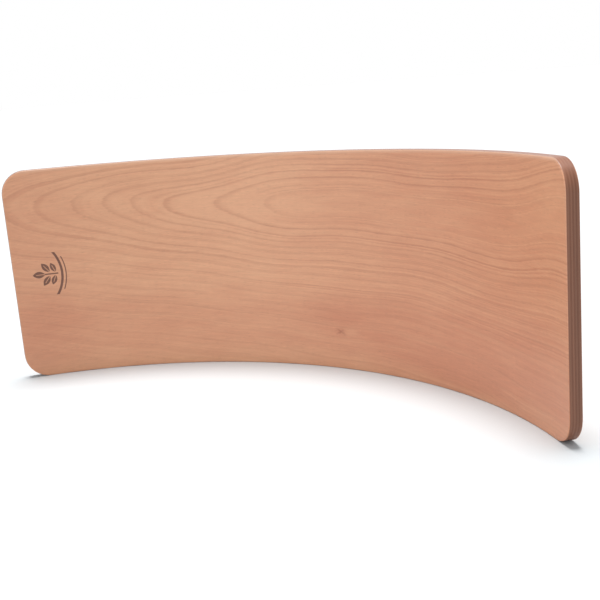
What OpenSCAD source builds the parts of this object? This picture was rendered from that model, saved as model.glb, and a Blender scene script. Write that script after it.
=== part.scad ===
// Balance board: one bent board of laminated beech, standing on a long edge.
// +X runs along the chord of the curve, +Y through its depth with the hollow
// face towards -Y, and +Z across the board's width. The origin is at the
// middle of the bottom of the board's bounding box.

/* [Board] */
// Width of the board, which is its height as it stands on edge
board_w = 300; // [270:5:330]
// Radius of the hollow (concave) face
inner_r = 520; // [470:10:600]
// Angle from the middle of the board to each end
half_angle = 50; // [40:1:60]
// Thickness of the whole laminate
board_t = 15; // [12:0.5:18]
// Radius of the four corners of the outline
corner_r = 34; // [20:1:60]

/* [Laminate] */
// Thickness of the glue film between two veneers
glue_t = 0.1; // [0.05:0.05:0.3]
// How far each glue film stays back from the sanded edges
glue_setback = 0.2; // [0.1:0.1:1]

/* [Colours] */
// Long-grain veneers
long_colour = "#D3A183"; // [#D3A183, #D9B48F, #C79676]
// Cross-grain veneers
cross_colour = "#BE8C70"; // [#BE8C70, #C9A07F, #B38163]
// Glue films
glue_colour = "#7A5544"; // [#7A5544, #6B4636, #8C6B58]

/* [Hidden] */

// Nine veneers and the eight glue films between them fill the thickness
veneers = 9;
veneer_t = (board_t - (veneers - 1) * glue_t) / veneers;

// The curve is one circular arc about a vertical line; its centre is placed
// so that the bounding box is centred on the origin in Y
y_low = inner_r * cos(half_angle) - inner_r;
y_mid = (y_low + board_t) / 2;
arc_y = -inner_r - y_mid;

$fn = 360;

// Radius of the hollow side of veneer i and of glue film i, counted from 1 at
// the hollow face
function veneer_r(i) = inner_r + (i - 1) * (veneer_t + glue_t);
function glue_r(i) = veneer_r(i) + veneer_t;

// How far the corner arcs run past the long edges before they cross them, so
// that they meet at a slight angle instead of a tangent
cross_over = 0.05;

// What is cut off at the two corners of one end (side is -1 or 1). The corner
// arc's axis points at the centre of the curve, and the arc crosses the end cut
// at the outer side of the sheet
module corner_waste(side, r, t, set) {
    a = half_angle - asin(corner_r / (r + t + 0.5));
    rc = corner_r - set;
    z_arc = board_w / 2 - corner_r + cross_over;
    rotate([0, 0, -side * a])
        translate([0, r + t + 2, board_w / 2])
            rotate([90, 0, 0])
                linear_extrude(height = t + 4)
                    for (up = [-1, 1])
                        difference() {
                            translate([side > 0 ? 0 : -corner_r - 4,
                                       up > 0 ? z_arc : -z_arc - corner_r - 2])
                                square([corner_r + 4, corner_r + 2]);
                            translate([0, up * z_arc])
                                circle(r = rc);
                        }
}

// One bent sheet of the laminate: r is the radius of its hollow side, t its
// thickness, and set how far its edges stay inside the board's outline
module sheet(r, t, set = 0) {
    half = half_angle - asin(set / r);
    translate([0, arc_y, 0])
        difference() {
            rotate([0, 0, 90 - half])
                rotate_extrude(angle = 2 * half)
                    translate([r, set])
                        square([t, board_w - 2 * set]);
            corner_waste(1, r, t, set);
            corner_waste(-1, r, t, set);
        }
}

module veneer(i) { sheet(veneer_r(i), veneer_t); }
module glue(i) { sheet(glue_r(i), glue_t, glue_setback); }

// Odd veneers have their grain along the board, even ones across it
module inner_face_veneer() { color(long_colour) veneer(1); }
module inner_crossband() { color(cross_colour) veneer(2); }
module inner_long_veneer() { color(long_colour) veneer(3); }
module inner_core_crossband() { color(cross_colour) veneer(4); }
module centre_veneer() { color(long_colour) veneer(5); }
module outer_core_crossband() { color(cross_colour) veneer(6); }
module outer_long_veneer() { color(long_colour) veneer(7); }
module outer_crossband() { color(cross_colour) veneer(8); }
module outer_face_veneer() { color(long_colour) veneer(9); }

// Glue films, numbered from the hollow face
module glue_film_1() { color(glue_colour) glue(1); }
module glue_film_2() { color(glue_colour) glue(2); }
module glue_film_3() { color(glue_colour) glue(3); }
module glue_film_4() { color(glue_colour) glue(4); }
module glue_film_5() { color(glue_colour) glue(5); }
module glue_film_6() { color(glue_colour) glue(6); }
module glue_film_7() { color(glue_colour) glue(7); }
module glue_film_8() { color(glue_colour) glue(8); }

inner_face_veneer();
glue_film_1();
inner_crossband();
glue_film_2();
inner_long_veneer();
glue_film_3();
inner_core_crossband();
glue_film_4();
centre_veneer();
glue_film_5();
outer_core_crossband();
glue_film_6();
outer_long_veneer();
glue_film_7();
outer_crossband();
glue_film_8();
outer_face_veneer();
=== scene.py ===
# Balance board: bent laminated beech, one mesh piece for each veneer and glue film.
import bpy, bmesh, math
import numpy as np
from mathutils import Matrix, Vector


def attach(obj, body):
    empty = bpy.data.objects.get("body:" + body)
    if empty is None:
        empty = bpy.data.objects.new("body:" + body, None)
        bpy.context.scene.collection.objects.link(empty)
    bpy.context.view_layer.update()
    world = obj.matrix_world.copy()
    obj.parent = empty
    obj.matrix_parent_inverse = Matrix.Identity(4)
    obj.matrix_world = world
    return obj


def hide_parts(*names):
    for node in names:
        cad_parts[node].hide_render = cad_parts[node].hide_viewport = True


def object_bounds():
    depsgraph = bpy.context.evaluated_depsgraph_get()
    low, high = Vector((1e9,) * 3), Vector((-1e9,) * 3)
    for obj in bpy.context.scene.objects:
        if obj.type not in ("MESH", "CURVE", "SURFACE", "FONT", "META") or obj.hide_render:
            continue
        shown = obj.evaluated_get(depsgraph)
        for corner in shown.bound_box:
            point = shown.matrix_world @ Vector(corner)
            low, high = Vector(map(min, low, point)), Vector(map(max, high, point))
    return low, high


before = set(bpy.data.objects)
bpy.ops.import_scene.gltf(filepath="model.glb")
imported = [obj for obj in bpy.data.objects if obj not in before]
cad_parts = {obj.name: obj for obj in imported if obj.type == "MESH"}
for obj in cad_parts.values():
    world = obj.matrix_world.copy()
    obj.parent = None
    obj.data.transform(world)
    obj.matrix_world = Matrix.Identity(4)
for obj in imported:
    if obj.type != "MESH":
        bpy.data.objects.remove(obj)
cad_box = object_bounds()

# ---------------------------------------------------------------- sizes, in metres
WIDTH = 0.300            # across the board, upright here
R_IN = 0.520             # hollow face
HALF = math.radians(50)  # middle to end
THICK = 0.015
CORNER = 0.034
GLUE = 0.0001
VENEER = (THICK - 8 * GLUE) / 9
EDGE = 0.0015            # rounding of every outer arris
ARC_Y = -R_IN - (R_IN * math.cos(HALF) - R_IN + THICK) / 2
NAMES = ["inner_face_veneer", "inner_crossband", "inner_long_veneer", "inner_core_crossband", "centre_veneer",
         "outer_core_crossband", "outer_long_veneer", "outer_crossband", "outer_face_veneer"]

low, high = (np.array(v) for v in cad_box)
assert abs(high[2] - low[2] - WIDTH) < 2e-4 and abs(high[1] - (ARC_Y + R_IN + THICK)) < 2e-4, "the CAD board has changed"
assert abs(high[0] - (R_IN + THICK) * math.sin(HALF)) < 2e-4, "the CAD board has changed"

# ---------------------------------------------------------------- camera
scene = bpy.context.scene
cam_data = bpy.data.cameras.new("camera")
cam = bpy.data.objects.new("camera", cam_data)
scene.collection.objects.link(cam)
scene.camera = cam
yaw, pitch, roll = -0.570106, -0.220612, -0.079174
look = Vector((math.sin(yaw) * math.cos(pitch), math.cos(yaw) * math.cos(pitch), math.sin(pitch)))
right = Vector((math.cos(yaw), -math.sin(yaw), 0))
up = right.cross(look)
r2 = right * math.cos(roll) + up * math.sin(roll)
u2 = -right * math.sin(roll) + up * math.cos(roll)
m = Matrix((r2, u2, -look)).transposed().to_4x4()
m.translation = (0.685799, -1.126451 + (ARC_Y + R_IN), 0.394075)
cam.matrix_world = m
cam_data.sensor_fit = "HORIZONTAL"
cam_data.sensor_width = 36
cam_data.lens = 978.38 / 600 * 36
cam_data.clip_end = 100

# ---------------------------------------------------------------- growth rings of the two faces
# The hollow face is a flat cut through a stem. YEARS are the outer radii of its growth rings in millimetres.
YEARS = (0, 19, 36, 45, 53, 60, 68, 79, 87, 98, 113, 128, 166, 192, 212, 235, 258)


def stem_rings(xy):
    """Ring number at (along, up) in millimetres: the pith leaves the cut towards the left end, so the arches point there."""
    s, z = xy[:, 0], xy[:, 1]
    left, right = np.clip(-s, 0, None), np.clip(s, 0, None)
    depth = 0.19 * left + 6 * np.exp(-((left - 130) / 75) ** 2)                # from the cut to the pith
    pith = 229 + 0.042 * left - 0.03 * right + 22 / (1 + np.exp(-(s - 385) / 28))
    rise = z - pith + 2.4 * np.sin(s / 63 + z / 70 + 0.6) + 1.3 * np.sin(s / 29 - z / 41 + 2.0)
    swell = 0.15 * (s / 420) * np.abs(s / 420)
    above = 1 + swell * (s > 0) - 0.25 * (1 - np.exp(-(left / 140) ** 2))
    below = 1 + swell
    mix = 1 / (1 + np.exp(-rise / 6))
    r = np.sqrt(depth ** 2 + (rise / (above * mix + below * (1 - mix))) ** 2 + 9)
    return sum(np.interp(r + d, YEARS, range(len(YEARS))) for d in (-6, -4, -2, 0, 2, 4, 6)) / 7


def slopes(field):
    """The same function with its two slopes per millimetre."""
    def both(xy):
        h = 0.5
        gx = (field(xy + (h, 0)) - field(xy - (h, 0))) / (2 * h)
        gy = (field(xy + (0, h)) - field(xy - (0, h))) / (2 * h)
        return field(xy), gx, gy
    return both


# The face at the back is a plainer sheet, with one tall arch and a straight side. Each ring is drawn by a few
# points (along the board, up the board) in millimetres.
RINGS_OUTER = (
    (0, ((-120, 96), (-40, 112), (60, 118), (130, 112), (180, 98), (120, 84), (20, 78), (-60, 82))),
    (1, ((-215, 92), (-120, 122), (0, 134), (120, 132), (235, 108), (300, 96), (235, 82), (100, 68), (-80, 66))),
    (2, ((-300, 90), (-220, 118), (-80, 142), (100, 146), (260, 126), (380, 100), (300, 76), (120, 56), (-80, 53), (-230, 66))),
    (3, ((-372, 92), (-300, 122), (-120, 154), (100, 158), (280, 142), (440, 116), (440, 84), (300, 62), (100, 44), (-120, 42), (-300, 62))),
    (4, ((-430, 96), (-360, 128), (-180, 163), (60, 171), (260, 158), (444, 134), (444, 66), (280, 48), (60, 32), (-180, 32), (-380, 60))),
    (5, ((-448, 122), (-340, 152), (-140, 176), (80, 183), (280, 172), (444, 150), (444, 50), (260, 34), (0, 20), (-240, 22), (-444, 56))),
    (6, ((-448, 146), (-300, 174), (-60, 191), (160, 193), (444, 166), (444, 34), (220, 20), (-40, 8), (-300, 14), (-448, 32))),
    (7, ((-448, 166), (-260, 193), (0, 204), (240, 200), (444, 180), (444, 18), (240, 8))),
    (8, ((-448, 184), (-240, 206), (20, 216), (260, 211), (444, 195))),
    (9, ((-448, 204), (-200, 222), (60, 230), (280, 224), (444, 210))),
    (10, ((-448, 216), (-200, 236), (60, 241), (444, 224))),
    (11, ((-448, 236), (-180, 252), (100, 256), (444, 238))),
    (12, ((-448, 252), (-120, 268), (160, 270), (444, 256))),
    (13, ((-448, 266), (-100, 279), (160, 281), (444, 270))),
    (14, ((-448, 284), (-60, 294), (200, 296), (444, 286))),
)


def ring_field(rings):
    """A smooth function of (along, up) in millimetres that takes the value k on ring k, and its two slopes per millimetre."""
    at = np.array([p for _, pts in rings for p in pts], float)
    value = np.array([k for k, pts in rings for _ in pts], float)
    squeeze = np.array([0.35, 1.0])
    q = at * squeeze
    n = len(q)

    def kernel(r2):
        return 0.5 * r2 * np.log(r2 + 1e-9)

    a = np.zeros((n + 3, n + 3))
    a[:n, :n] = kernel(((q[:, None] - q[None]) ** 2).sum(-1)) + np.eye(n) * 8.0
    a[:n, n:] = np.c_[np.ones(n), q]
    a[n:, :n] = a[:n, n:].T
    w = np.linalg.solve(a, np.r_[value, 0, 0, 0])

    def field(xy):
        out = []
        for part in np.array_split(xy * squeeze, max(1, len(xy) // 8000)):
            out.append(kernel(((part[:, None] - q[None]) ** 2).sum(-1)) @ w[:n] + w[n] + part @ w[n + 1:])
        return np.concatenate(out)

    return slopes(field)


# ---------------------------------------------------------------- one bent sheet
# The bake map gives the stretch around the emblem more room along the board.
_end = R_IN * HALF + 0.001
MAP_S = np.array([-_end, -0.440, -0.362, _end])
MAP_U = np.cumsum(np.r_[0, np.diff(MAP_S) * (1.0, 2.6, 1.0)])
MAP_U = MAP_U / MAP_U[-1]


def inset(d):
    a = min(d, THICK - d)
    return EDGE - math.sqrt(EDGE * EDGE - (EDGE - a) ** 2) if a < EDGE else 0.0


def slope(d):
    """How much the rounded edge faces outwards at depth d: 0 on a face, 1 on the square part of the edge."""
    a = min(d, THICK - d)
    return math.sqrt(1 - ((EDGE - a) / EDGE) ** 2) if a < EDGE else 1.0


def columns(n_mid, n_arc):
    arc = [math.pi / 2 * k / n_arc for k in range(n_arc, 0, -1)]
    mid = [-1 + 2 * k / n_mid for k in range(n_mid + 1)]
    return [(-1, b, None) for b in arc] + [(0, 0.0, t) for t in mid] + [(1, b, None) for b in reversed(arc)]


def sheet(name, d0, d1, back=0.0, dense=None, n_mid=150, n_arc=10, n_row=8, field=None):
    """A closed bent sheet between depths d0 and d1 below the hollow face. back sets its edges in. dense is "low" or "high" for the face that shows."""
    cols = columns(n_mid, n_arc)
    nc, nr = len(cols), n_row + 1
    steps = {d0, d1}
    for k in range(0, 91, 9):
        for d in (EDGE * (1 - math.cos(math.radians(k))), THICK - EDGE * (1 - math.cos(math.radians(k)))):
            if d0 + 2e-5 < d < d1 - 2e-5:
                steps.add(d)
    depths = sorted(steps)
    verts, board, rim = [], [], []

    def place(d, extra, c, v):
        side, b, t = c
        r, i = R_IN + d, inset(d) + extra
        lh, rc = r * HALF - i, CORNER - i
        if side:
            s, zb = side * (lh - rc + rc * math.sin(b)), i + rc * (1 - math.cos(b))
        else:
            s, zb = t * (lh - rc), i
        z = zb + v * (WIDTH - 2 * zb)
        a = s / r
        verts.append((r * math.sin(a), ARC_Y + r * math.cos(a), z))
        board.append((a * R_IN, z, d))

    # Boundary ring of each depth: along the bottom, up the right end, back along the top, down the left end.
    ring_cols = [(j, 0.0) for j in range(nc)] + [(nc - 1, k / n_row) for k in range(1, nr)] + \
        [(j, 1.0) for j in range(nc - 2, -1, -1)] + [(0, k / n_row) for k in range(n_row - 1, 0, -1)]
    rings = []
    for d in depths:
        start = len(verts)
        f = slope(d)
        for j, v in ring_cols:
            side, b, _ = cols[j]
            place(d, back, cols[j], v)
            on_end = side != 0 and 0 < v < 1
            ns, nz = (1.0, 0.0) if on_end else (math.sin(b) if side else 0.0, math.cos(b) if side else 1.0)
            rim.append((ns * f, nz * f, 0.0))
        rings.append(list(range(start, len(verts))))
    faces, where, kind = [], [], []   # kind: 0 low cap, 1 high cap, 2 wall
    n = len(ring_cols)
    for k in range(len(rings) - 1):
        for i in range(n):
            j = (i + 1) % n
            faces.append((rings[k][i], rings[k][j], rings[k + 1][j], rings[k + 1][i]))
            kind.append(2)
            where.append((i, k))
    index = {c: i for i, c in enumerate(ring_cols)}
    for which, ring, d in (("low", rings[0], depths[0]), ("high", rings[-1], depths[-1])):
        code = 0 if which == "low" else 1
        if dense == which:
            grid = {}
            for j in range(nc):
                for k in range(nr):
                    key = (j, 0.0 if k == 0 else 1.0 if k == n_row else k / n_row)
                    if key in index:
                        grid[j, k] = ring[index[key]]
                    else:
                        grid[j, k] = len(verts)
                        place(d, back, cols[j], k / n_row)
                        rim.append((0.0, 0.0, 0.0))
            for j in range(nc - 1):
                for k in range(n_row):
                    faces.append((grid[j, k], grid[j + 1, k], grid[j + 1, k + 1], grid[j, k + 1]))
                    kind.append(code)
                    where.append(None)
        else:
            for j in range(nc - 1):
                bottom = [ring[index[j, 0.0]], ring[index[j + 1, 0.0]]]
                top = [ring[index[j + 1, 1.0]], ring[index[j, 1.0]]]
                if j == nc - 2:
                    bottom += [ring[index[nc - 1, k / n_row]] for k in range(1, n_row)]
                if j == 0:
                    top += [ring[index[0, k / n_row]] for k in range(n_row - 1, 0, -1)]
                faces.append(tuple(bottom + top))
                kind.append(code)
                where.append(None)
    me = bpy.data.meshes.new(name)
    me.from_pydata(verts, [], faces)
    board = np.array(board)
    # bake map: each part of the surface on its own strip
    uv = me.uv_layers.new(name="OFBake")
    me.uv_layers.active = uv
    uv.active_render = True
    if dense:
        spans = {"cap": (0.14, 0.995), "hidden": (0.005, 0.025),
                 "walls": ((0.03, 0.055), (0.058, 0.083), (0.086, 0.109), (0.112, 0.135))}
    else:
        spans = {"cap": (0.005, 0.10), "hidden": (0.105, 0.20),
                 "walls": ((0.205, 0.40), (0.405, 0.60), (0.605, 0.795), (0.80, 0.995))}
    corners = (0, nc - 1, nc - 1 + n_row, 2 * (nc - 1) + n_row, n)
    u_at = np.interp(board[:, 0], MAP_S, MAP_U)
    z_at = board[:, 1] / WIDTH
    data = np.zeros((len(me.loops), 2))
    shown = {"low": 0, "high": 1}.get(dense, 0)
    depth_at = {d: k for k, d in enumerate(depths)}
    for p, kd, wh in zip(me.polygons, kind, where):
        for li in p.loop_indices:
            vi = me.loops[li].vertex_index
            if kd < 2:
                a, b = spans["cap"] if kd == shown else spans["hidden"]
                data[li] = 0.005 + 0.99 * u_at[vi], a + (b - a) * z_at[vi]
            else:
                i, k = wh
                part = next(q for q in range(4) if corners[q] <= i < corners[q + 1])
                a, b = spans["walls"][part]
                loc = (vi - rings[0][0]) % n
                if part == 3 and loc == 0:
                    loc = n
                tt = (loc - corners[part]) / (corners[part + 1] - corners[part])
                layer = (vi - rings[0][0]) // n
                dd = (depths[min(layer, len(depths) - 1)] - d0) / (d1 - d0)
                data[li] = 0.005 + 0.99 * tt, a + (b - a) * dd
    uv.uv.foreach_set("vector", data.astype(np.float32).ravel())
    # coordinates on the board, and the growth rings
    me.attributes.new("board", "FLOAT_VECTOR", "POINT").data.foreach_set("vector", board.astype(np.float32).ravel())
    me.attributes.new("rim", "FLOAT_VECTOR", "POINT").data.foreach_set("vector", np.array(rim, np.float32).ravel())
    if field:
        f, gx, gy = field(board[:, :2] * 1000)
        data = np.stack([f, gx * 1000, gy * 1000], 1)
        me.attributes.new("ring", "FLOAT_VECTOR", "POINT").data.foreach_set("vector", data.astype(np.float32).ravel())
    bm = bmesh.new()
    bm.from_mesh(me)
    bm.faces.ensure_lookup_table()
    for f in bm.faces:
        f.smooth = True
    flag = {f.index: kd for f, kd in zip(bm.faces, kind)}
    hidden = [c for c, w in ((0, "low"), (1, "high")) if dense != w]
    for e in bm.edges:
        kinds = {flag[f.index] for f in e.link_faces}
        if 2 in kinds and kinds & set(hidden):
            e.smooth = False
    bmesh.ops.recalc_face_normals(bm, faces=bm.faces)
    bm.to_mesh(me)
    bm.free()
    ob = bpy.data.objects.new(name, me)
    scene.collection.objects.link(ob)
    return ob


# ---------------------------------------------------------------- shader helpers
def srgb(r, g, b):
    return tuple(((v / 255 / 12.92) if v / 255 <= 0.04045 else ((v / 255 + 0.055) / 1.055) ** 2.4) for v in (r, g, b)) + (1.0,)


class Graph:
    def __init__(self, name):
        self.mat = bpy.data.materials.new(name)
        self.mat.use_nodes = True
        self.nt = self.mat.node_tree
        self.nt.nodes.clear()

    def node(self, kind, **settings):
        nd = self.nt.nodes.new(kind)
        for k, v in settings.items():
            setattr(nd, k, v)
        return nd

    def put(self, socket, value):
        if isinstance(value, bpy.types.NodeSocket):
            self.nt.links.new(value, socket)
        elif value is not None:
            socket.default_value = value[:3] if socket.type == "VECTOR" else value

    def math(self, op, a, b=None, c=None, clamp=False):
        nd = self.node("ShaderNodeMath", operation=op, use_clamp=clamp)
        for s, v in zip(nd.inputs, (a, b, c)):
            self.put(s, v)
        return nd.outputs[0]

    def add(self, a, b): return self.math("ADD", a, b)
    def sub(self, a, b): return self.math("SUBTRACT", a, b)
    def mul(self, a, b): return self.math("MULTIPLY", a, b)

    def vec(self, op, a, b=None):
        nd = self.node("ShaderNodeVectorMath", operation=op)
        self.put(nd.inputs[0], a)
        if b is not None:
            self.put(nd.inputs[1], b)
        return nd.outputs["Value"] if op in ("LENGTH", "DISTANCE", "DOT_PRODUCT") else nd.outputs["Vector"]

    def attr(self, name):
        return self.node("ShaderNodeAttribute", attribute_name=name).outputs["Vector"]

    def split(self, v):
        nd = self.node("ShaderNodeSeparateXYZ")
        self.put(nd.inputs[0], v)
        return nd.outputs[:3]

    def noise(self, v, stretch=(1, 1, 1), detail=2.0, rough=0.5, shift=(0, 0, 0)):
        nd = self.node("ShaderNodeTexNoise")
        at = self.vec("ADD", self.vec("MULTIPLY", v, stretch), shift)
        self.put(nd.inputs["Vector"], at)
        nd.inputs["Scale"].default_value = 1.0
        nd.inputs["Detail"].default_value = detail
        nd.inputs["Roughness"].default_value = rough
        return nd.outputs["Fac"]

    def noise1(self, w, detail=2.0, rough=0.5):
        nd = self.node("ShaderNodeTexNoise", noise_dimensions="1D")
        self.put(nd.inputs["W"], w)
        nd.inputs["Scale"].default_value = 1.0
        nd.inputs["Detail"].default_value = detail
        nd.inputs["Roughness"].default_value = rough
        return nd.outputs["Fac"]

    def cells(self, v, stretch, shift=(0, 0, 0)):
        nd = self.node("ShaderNodeTexVoronoi")
        self.put(nd.inputs["Vector"], self.vec("ADD", self.vec("MULTIPLY", v, stretch), shift))
        nd.inputs["Scale"].default_value = 1.0
        return nd.outputs["Distance"], nd.outputs["Color"]

    def step(self, x, a, b, lo=0.0, hi=1.0):
        nd = self.node("ShaderNodeMapRange", interpolation_type="SMOOTHSTEP")
        self.put(nd.inputs["Value"], x)
        for s, v in zip(nd.inputs[1:5], (a, b, lo, hi)):
            self.put(s, v)
        return nd.outputs[0]

    def mix(self, fac, a, b, blend="MIX"):
        nd = self.node("ShaderNodeMix", data_type="RGBA", blend_type=blend)
        self.put(nd.inputs["Factor"], fac)
        self.put(nd.inputs["A"], a)
        self.put(nd.inputs["B"], b)
        return next(o for o in nd.outputs if o.type == "RGBA")

    def shade(self, col, k):
        """col times the number k."""
        nd = self.node("ShaderNodeVectorMath", operation="SCALE")
        self.put(nd.inputs[0], col)
        self.put(nd.inputs["Scale"], k)
        return nd.outputs[0]

    def ramp(self, fac, stops, constant=False):
        nd = self.node("ShaderNodeValToRGB")
        r = nd.color_ramp
        r.interpolation = "CONSTANT" if constant else "LINEAR"
        while len(r.elements) < len(stops):
            r.elements.new(0.5)
        for e, (p, v) in zip(r.elements, stops):
            e.position = p
            e.color = (v, v, v, 1) if not isinstance(v, tuple) else v
        self.put(nd.inputs[0], fac)
        return nd.outputs[0]

    def finish(self, color, rough, height=None, dist=1e-4, strength=0.4, coat=0.0, coat_rough=0.2, spec=0.5):
        out = self.node("ShaderNodeOutputMaterial")
        b = self.node("ShaderNodeBsdfPrincipled")
        self.put(b.inputs["Base Color"], color)
        self.put(b.inputs["Roughness"], rough)
        b.inputs["Specular IOR Level"].default_value = spec
        b.inputs["Coat Weight"].default_value = coat
        b.inputs["Coat Roughness"].default_value = coat_rough
        if height is not None:
            bump = self.node("ShaderNodeBump")
            bump.inputs["Strength"].default_value = strength
            bump.inputs["Distance"].default_value = dist
            self.put(bump.inputs["Height"], height)
            self.put(b.inputs["Normal"], bump.outputs[0])
        self.nt.links.new(b.outputs[0], out.inputs[0])
        return self.mat


# ---------------------------------------------------------------- beech
LIGHT = srgb(220, 163, 126)
DARK = srgb(199, 132, 100)
LINE = srgb(156, 88, 62)
END_DARK = srgb(131, 79, 55)
END_LIGHT = srgb(141, 93, 69)


def end_grain(g, board, along, across, shift):
    """Cut ends of the fibres: fine pores, with thin lines of latewood. along is the way the sheet runs, across its thickness."""
    fine = g.noise(board, (900 * along[0] + 900 * across[0], 900 * along[1] + 900 * across[1], 2600), 2.0, 0.6, shift)
    wide = g.noise(board, (60 * along[0], 60 * along[1], 500), 2.0, 0.5, shift)
    dots, _ = g.cells(board, (1600 * along[0] + 300 * across[0], 1600 * along[1] + 300 * across[1], 3200), shift)
    pore = g.step(dots, 0.18, 0.34, 0.80, 1.0)
    k = g.add(g.mul(g.sub(fine, 0.5), 0.34), g.mul(g.sub(wide, 0.5), 0.30))
    return g.mul(g.add(k, 1.0), pore)


def face_material(name, strengths, seed, tone_fn):
    g = Graph(name)
    board, ring, rim = g.attr("board"), g.attr("ring"), g.attr("rim")
    s, z, d = g.split(board)
    f, fs, fz = g.split(ring)
    ns, nz, _ = g.split(rim)
    sh = (seed * 7.3, seed * 3.1, seed * 5.7)
    # the ring lines wander a little across the fibres, and break up along them
    across = g.add(g.mul(g.sub(g.noise(board, (9, 50, 0), 2.0, 0.5, sh), 0.5), 0.0028),
                   g.mul(g.sub(g.noise(board, (45, 330, 0), 3.0, 0.6, sh), 0.5), 0.0024))
    along = g.add(g.mul(g.sub(g.noise(board, (30, 420, 0), 2.0, 0.6, (sh[0] + 9, sh[1], 0)), 0.5), 0.010),
                  g.mul(g.sub(g.noise(board, (12, 90, 0), 2.0, 0.5, (sh[0] + 5, sh[1], 0)), 0.5), 0.003))
    f = g.add(f, g.add(g.mul(across, fz), g.mul(along, fs)))
    grad = g.math("MAXIMUM", g.math("SQRT", g.add(g.mul(fs, fs), g.mul(fz, fz))), 9.0)
    near = g.math("FLOOR", g.add(f, 0.5))
    p = g.sub(f, near)
    q = g.math("DIVIDE", p, grad)
    outer = g.math("GREATER_THAN", p, 0.0)
    # at the arches the lines are broad inside and crisp outside
    arch = g.math("DIVIDE", g.math("ABSOLUTE", fs), grad)
    soft = g.add(0.0012, g.mul(g.math("POWER", arch, 0.65), g.add(0.0018, g.math("DIVIDE", 0.10, grad))))
    sharp = g.add(0.0007, g.mul(arch, 0.0011))
    w = g.add(g.mul(outer, sharp), g.mul(g.sub(1.0, outer), soft))
    e = g.math("DIVIDE", q, w)
    line = g.math("EXPONENT", g.mul(g.mul(e, e), -1.0))
    n = len(strengths)
    power = g.ramp(g.math("DIVIDE", g.add(near, 1.5), float(n)), [(k / n, v) for k, v in enumerate(strengths)], constant=True)
    fade = g.step(g.noise(board, (9, 26, 0), 2.0, 0.5, (sh[0] + 4, sh[1], 0)), 0.3, 0.7, 0.72, 1.18)
    line = g.mul(g.mul(line, power), fade)
    # thinner lines between the rings, in places
    thin = g.noise1(g.add(g.mul(f, 3.1), seed * 3.3), 2.0, 0.75)
    thin = g.step(thin, 0.54, 0.68, 0.0, 1.0)
    thin = g.mul(thin, g.step(g.noise(board, (6, 34, 0), 2.0, 0.5, (sh[0] + 2, sh[1], 0)), 0.32, 0.60))
    thin = g.mul(g.mul(thin, g.step(arch, 0.08, 0.45, 1.0, 0.15)), g.step(z, 0.02, 0.11, 0.35, 1.0))
    # the bands are a little stronger to the right
    line = g.mul(line, g.step(s, 0.02, 0.25, 0.92, 0.96))
    bands = g.mul(g.sub(g.noise1(g.add(g.mul(f, 4.3), seed), 3.0, 0.62), 0.5), g.mul(g.step(s, 0.02, 0.25, 1.0, 1.75), g.step(grad, 14.0, 42.0, 0.30, 1.0)))
    # fine fibres, and the flecks of the rays
    fibre = g.sub(g.noise(board, (70, 1100, 1100), 3.0, 0.62, sh), 0.5)
    streak = g.sub(g.noise(board, (34, 330, 330), 3.0, 0.6, sh), 0.5)
    cloud = g.sub(g.noise(board, (5, 11, 0), 2.0, 0.5, sh), 0.5)
    patch = g.sub(g.noise(board, (16, 60, 0), 2.0, 0.55, sh), 0.5)
    dist, col = g.cells(board, (120, 540, 540), sh)
    pick = g.split(col)[0]
    fleck = g.mul(g.step(dist, 0.14, 0.44, 1.0, 0.0), g.step(pick, 0.30, 1.0, 0.0, 1.0))
    dist2, col2 = g.cells(board, (95, 430, 430), (sh[0] + 31, sh[1], sh[2]))
    pale = g.mul(g.step(dist2, 0.12, 0.42, 1.0, 0.0), g.step(g.split(col2)[0], 0.25, 1.0))
    tone = g.add(tone_fn(g, s, z), g.add(g.mul(cloud, 0.42), g.add(g.mul(bands, 0.58), g.mul(patch, 0.52))))
    tone = g.math("ADD", tone, 0.0, clamp=True)
    color = g.mix(tone, LIGHT, DARK)
    color = g.mix(g.math("ADD", g.mul(g.add(line, g.mul(thin, 0.62)), 0.29), 0.0, clamp=True), color, LINE)
    k = g.add(g.mul(fibre, 0.20), g.mul(streak, 0.17))
    k = g.add(g.sub(g.add(1.0, k), g.mul(fleck, 0.085)), g.mul(pale, 0.060))
    # painted light: the face is made a little brighter at the lower left and at the upper left, where the light falls
    # off
    k = g.add(k, g.add(blob(g, s, z, -0.28, 0.02, 0.22, 0.055, 0.040), blob(g, s, z, -0.46, 0.24, 0.10, 0.11, 0.022)))
    color = g.shade(color, k)
    # cut ends of the fibres at the two ends of the board
    eg = g.step(g.mul(ns, ns), 0.30, 0.92)
    ends = g.shade(END_DARK, end_grain(g, board, (0, 1), (1, 0), sh))
    # painted light: along the bottom edge the pale face colour reaches further round the arris than along the top,
    # against the contact shade at the floor
    low = g.math("LESS_THAN", z, 0.15)
    side = g.step(g.sub(g.mul(nz, nz), g.mul(low, 0.36)), 0.05, 0.60)
    color = g.mix(g.mul(side, 0.92), color, g.shade(END_LIGHT, g.add(1.0, g.mul(streak, 0.5))))
    color = g.mix(eg, color, ends)
    rough = g.add(0.42, g.add(g.mul(streak, 0.10), g.mul(fibre, 0.10)))
    height = g.add(g.mul(fibre, 1.0), g.sub(0.0, g.add(g.mul(line, 0.35), g.mul(fleck, 0.35))))
    return g, color, rough, height, s, z


def blob(g, s, z, cs, cz, rs, rz, amount):
    a, b = g.mul(g.sub(s, cs), 1 / rs), g.mul(g.sub(z, cz), 1 / rz)
    return g.mul(g.math("EXPONENT", g.mul(g.add(g.mul(a, a), g.mul(b, b)), -1.0)), amount)


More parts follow.
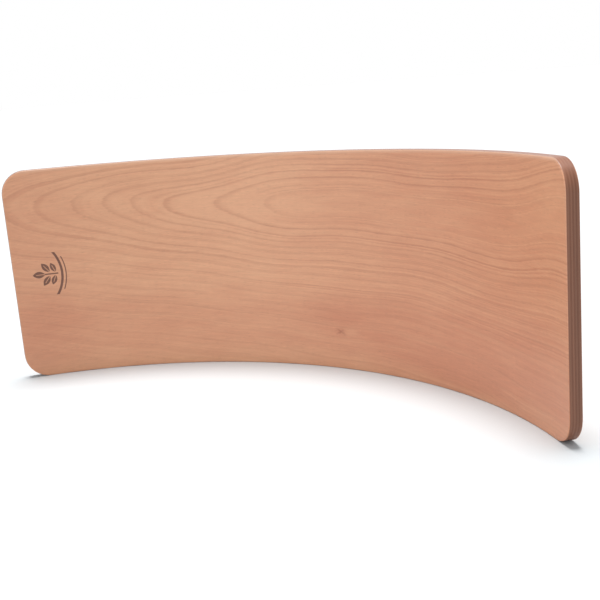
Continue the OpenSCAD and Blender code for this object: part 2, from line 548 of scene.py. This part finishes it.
def tone_inner(g, s, z):
    """Redder to the right, below the rings and at the left end. A few darker and paler patches. Paler along the bottom
    edge, as painted light against the shade near the floor.
    """
    wave = g.add(z, g.mul(g.sub(g.noise(g.attr("board"), (9, 30, 0), 2.0, 0.5, (3, 8, 1)), 0.5), 0.024))
    parts = [g.step(s, -0.12, 0.20, 0.14, 0.56), g.step(wave, 0.085, 0.135, 0.31, 0.0), g.step(s, -0.45, -0.31, 0.26, 0.0),
             # painted light: paler along the bottom edge, against the shade near the floor
             g.step(z, 0.0, 0.045, -0.34, 0.0),
             blob(g, s, z, 0.225, 0.025, 0.085, 0.020, 0.55), blob(g, s, z, 0.03, 0.075, 0.075, 0.022, 0.28),
             blob(g, s, z, -0.15, 0.215, 0.10, 0.036, -0.20), blob(g, s, z, 0.0, 0.210, 0.08, 0.050, 0.12), blob(g, s, z, 0.29, 0.220, 0.12, 0.024, 0.12),
             blob(g, s, z, -0.40, 0.085, 0.06, 0.03, 0.18), blob(g, s, z, 0.36, 0.128, 0.14, 0.026, 0.16), blob(g, s, z, 0.42, 0.03, 0.08, 0.03, 0.10), blob(g, s, z, 0.42, 0.27, 0.09, 0.03, -0.16)]
    total = parts[0]
    for part in parts[1:]:
        total = g.add(total, part)
    return total


def tone_outer(g, s, z):
    return g.add(g.step(s, -0.35, 0.40, 0.62, 0.25), g.step(z, 0.05, 0.28, 0.05, 0.20))


def emblem(g, s, z):
    """A seedling over two rocker lines, reading upwards: 1 inside the strokes. Millimetres from the middle of the emblem."""
    x = g.mul(g.sub(z, 0.150), 1000.0)
    y = g.mul(g.sub(-0.401, s), 1000.0)
    parts = []

    def leaf(cx, cy, turn, length, width):
        c, d = math.cos(math.radians(turn)), math.sin(math.radians(turn))
        u = g.add(g.mul(g.sub(x, cx), c), g.mul(g.sub(y, cy), d))       # across the leaf
        v = g.sub(g.mul(g.sub(y, cy), c), g.mul(g.sub(x, cx), d))       # along the leaf
        t = g.mul(v, 2.0 / length)
        a = g.math("ABSOLUTE", u)
        body = g.sub(g.mul(g.sub(1.0, g.mul(t, t)), width / 2), a)
        vein = g.sub(0.42, g.math("ADD", a, g.math("MAXIMUM", g.mul(g.sub(v, length * 0.20), 0.5), 0.0)))
        parts.append(g.math("MINIMUM", body, g.mul(vein, -1.0)))

    def arc(cy, radius, half_width, half_span):
        yy = g.sub(y, cy)
        r = g.math("SQRT", g.add(g.mul(x, x), g.mul(yy, yy)))
        band = g.sub(half_width, g.math("ABSOLUTE", g.sub(r, radius)))
        span = g.sub(half_span, g.math("ABSOLUTE", x))
        below = g.mul(yy, -1.0)
        parts.append(g.math("MINIMUM", band, g.math("MINIMUM", span, below)))

    leaf(0.0, 17.5, 0, 18, 9.5)
    leaf(9.5, 7.5, -52, 17, 8.5)
    leaf(-9.5, 7.5, 52, 17, 8.5)
    leaf(9.0, -3.0, -66, 15, 7.5)
    leaf(-9.0, -3.0, 66, 15, 7.5)
    stem = g.math("MINIMUM", g.sub(0.95, g.math("ABSOLUTE", x)), g.sub(9.5, g.math("ABSOLUTE", y)))
    parts.append(stem)
    arc(40.0, 55.0, 1.7, 31.0)
    arc(40.0, 60.5, 0.75, 24.0)
    best = parts[0]
    for q in parts[1:]:
        best = g.math("MAXIMUM", best, q)
    return g.step(best, -0.22, 0.22)


def inner_face():
    g, color, rough, height, s, z = face_material(
        "beech_inner", [.3, .42, .50, 1.0, 1.0, .62, .85, .72, .72, .92, .58, .50, .55, .60, .38, .36, .3, .3], 1, tone_inner)
    # a pin knot, with crushed grain around it
    board = g.attr("board")
    turn = g.vec("SUBTRACT", board, (0.027, 0.0525, 0))
    jag = g.sub(g.noise(board, (260, 420, 0), 3.0, 0.65, (2, 7, 0)), 0.5)
    ks, kz, _ = g.split(turn)
    cross = g.math("ABSOLUTE", g.sub(g.math("ABSOLUTE", g.mul(ks, 0.55)), g.math("ABSOLUTE", kz)))
    r = g.add(g.vec("LENGTH", g.vec("MULTIPLY", turn, (0.75, 1.1, 0))), g.mul(jag, 0.0075))
    arms = g.mul(g.step(g.add(cross, g.mul(jag, 0.006)), 0.0006, 0.0026, 1.0, 0.0), g.step(r, 0.0025, 0.0095, 0.40, 0.0))
    color = g.mix(g.step(r, 0.0010, 0.0095, 0.17, 0.0), color, LINE)
    color = g.mix(arms, color, LINE)
    color = g.mix(g.step(r, 0.0002, 0.0028, 0.20, 0.0), color, srgb(124, 70, 48))
    pale = g.vec("LENGTH", g.vec("MULTIPLY", g.vec("SUBTRACT", board, (0.043, 0.0530, 0)), (0.8, 2.0, 0)))
    color = g.mix(g.step(pale, 0.002, 0.016, 0.35, 0.0), color, LIGHT)
    # painted highlight: the face turns paler along the top edge, where the rounded arris catches the light from above
    color = g.mix(g.step(z, 0.2948, 0.2988, 0.0, 0.24), color, srgb(226, 195, 170))
    # the burnt emblem near the left end
    ink = g.mul(emblem(g, s, z), g.step(g.noise(board, (500, 900, 0), 2.0, 0.6), 0.25, 0.75, 0.80, 0.96))
    color = g.mix(ink, color, srgb(92, 55, 43))
    rough = g.add(rough, g.mul(ink, 0.14))
    height = g.sub(height, g.mul(ink, 1.1))
    return g.finish(color, rough, height, 6e-5, 0.35, coat=0.10, coat_rough=0.30)


def outer_face():
    g, color, rough, height, s, z = face_material(
        "beech_outer", [.3, .4, .9, .5, .75, .35, .6, .8, .4, .6, .45, .8, .5, .4, .6, .3, .3], 2, tone_outer)
    return g.finish(color, rough, height, 6e-5, 0.35, coat=0.10, coat_rough=0.30)


def ply_material(name, seed, long_grain, gain):
    g = Graph(name)
    board, rim = g.attr("board"), g.attr("rim")
    s, z, d = g.split(board)
    ns, nz, _ = g.split(rim)
    sh = (seed * 5.1, seed * 2.7, seed * 9.3)
    if long_grain:
        cut, run = g.mul(ns, ns), (22, 700, 2400)
        ends = end_grain(g, board, (0, 1), (1, 0), sh)
    else:
        cut, run = g.mul(nz, nz), (700, 22, 2400)
        ends = end_grain(g, board, (1, 0), (0, 1), sh)
    streak = g.sub(g.noise(board, run, 3.0, 0.6, sh), 0.5)
    slow = g.sub(g.noise(board, (9, 9, 300), 2.0, 0.5, sh), 0.5)
    # both kinds of veneer are stained by the lacquer, most of all where the fibres are cut across
    # gain: each ply's own tone, together with painted shade on the plies towards the back face
    side = g.shade(END_LIGHT, g.mul(g.add(1.0, g.add(g.mul(streak, 0.30), g.mul(slow, 0.30))), gain))
    ends = g.shade(END_DARK, g.mul(ends, gain))
    color = g.mix(g.step(cut, 0.15, 0.85), side, ends)
    # the upright ends are darker than the long edges
    upright = g.step(g.mul(ns, ns), 0.2, 0.9, 1.0, 0.80)
    color = g.shade(color, upright)
    rough = g.add(0.42, g.mul(streak, 0.12))
    return g.finish(color, rough, streak, 5e-5, 0.4, spec=0.35, coat=0.20, coat_rough=0.18)


def glue_material():
    g = Graph("glue")
    board = g.attr("board")
    k = g.add(1.0, g.mul(g.sub(g.noise(board, (300, 300, 300), 2.0), 0.5), 0.5))
    return g.finish(g.shade(srgb(110, 73, 56), k), 0.5)


# ---------------------------------------------------------------- the board
inner_field, outer_field = slopes(stem_rings), ring_field(RINGS_OUTER)
glue_mat = glue_material()
# brightness of each ply's edges: partly the veneers' own tone, partly painted shade that darkens the plies towards the
# back face
GAIN = [1, 1.10, 1.04, 1.10, 0.98, 1.00, 0.94, 0.98, 1]
for i, name in enumerate(NAMES):
    d0 = i * (VENEER + GLUE)
    if i == 0:
        ob = sheet("inner_face", d0, d0 + VENEER, dense="low", n_mid=300, n_arc=12, n_row=100, field=inner_field)
        ob.data.materials.append(inner_face())
    elif i == 8:
        ob = sheet("outer_face", d0, THICK, dense="high", n_mid=300, n_arc=12, n_row=100, field=outer_field)
        ob.data.materials.append(outer_face())
    else:
        ob = sheet(name + "_sheet", d0, d0 + VENEER)
        ob.data.materials.append(ply_material("ply_%d" % (i + 1), i + 1, i % 2 == 0, GAIN[i]))
    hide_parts(name)
    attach(ob, "root")
    if i < 8:
        film = sheet("glue_%d" % (i + 1), d0 + VENEER, d0 + VENEER + GLUE, back=0.0001)
        film.data.materials.append(glue_mat)
        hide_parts("glue_film_%d" % (i + 1))
        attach(film, "root")

# ---------------------------------------------------------------- floor and light
me = bpy.data.meshes.new("floor")
me.from_pydata([(-40, -40, 0), (40, -40, 0), (40, 40, 0), (-40, 40, 0)], [], [(0, 1, 2, 3)])
floor = bpy.data.objects.new("floor", me)
scene.collection.objects.link(floor)
g = Graph("floor")
me.materials.append(g.finish((0.592, 0.602, 0.607, 1), 0.9, spec=0.0))

# white surroundings for the camera and for reflections, softer as a light
world = bpy.data.worlds.new("world")
scene.world = world
world.use_nodes = True
nt = world.node_tree
back = nt.nodes["Background"]
path = nt.nodes.new("ShaderNodeLightPath")
seen = nt.nodes.new("ShaderNodeMath")
seen.operation = "MAXIMUM"
nt.links.new(path.outputs["Is Camera Ray"], seen.inputs[0])
nt.links.new(path.outputs["Is Glossy Ray"], seen.inputs[1])
sky = nt.nodes.new("ShaderNodeMix")
sky.data_type = "RGBA"
nt.links.new(seen.outputs[0], sky.inputs["Factor"])
colors = [i for i in sky.inputs if i.type == "RGBA"]
colors[0].default_value = (0.575, 0.625, 0.655, 1)
colors[1].default_value = (1, 1, 1, 1)
nt.links.new(next(o for o in sky.outputs if o.type == "RGBA"), back.inputs[0])
back.inputs[1].default_value = 1.0


def sun(name, toward, angle, power):
    data = bpy.data.lights.new(name, "SUN")
    data.angle = math.radians(angle)
    data.energy = power
    ob = bpy.data.objects.new(name, data)
    ob.rotation_euler = Vector(toward).to_track_quat("Z", "Y").to_euler()
    scene.collection.objects.link(ob)
    return ob


sun("overhead", (-0.05, 0.08, 1.0), 25, 3.80)
sun("front", (-0.30, -0.92, 0.22), 40, 0.50)
scene.view_settings.view_transform = "Standard"
scene.view_settings.look = "None"
scene.render.film_transparent = False
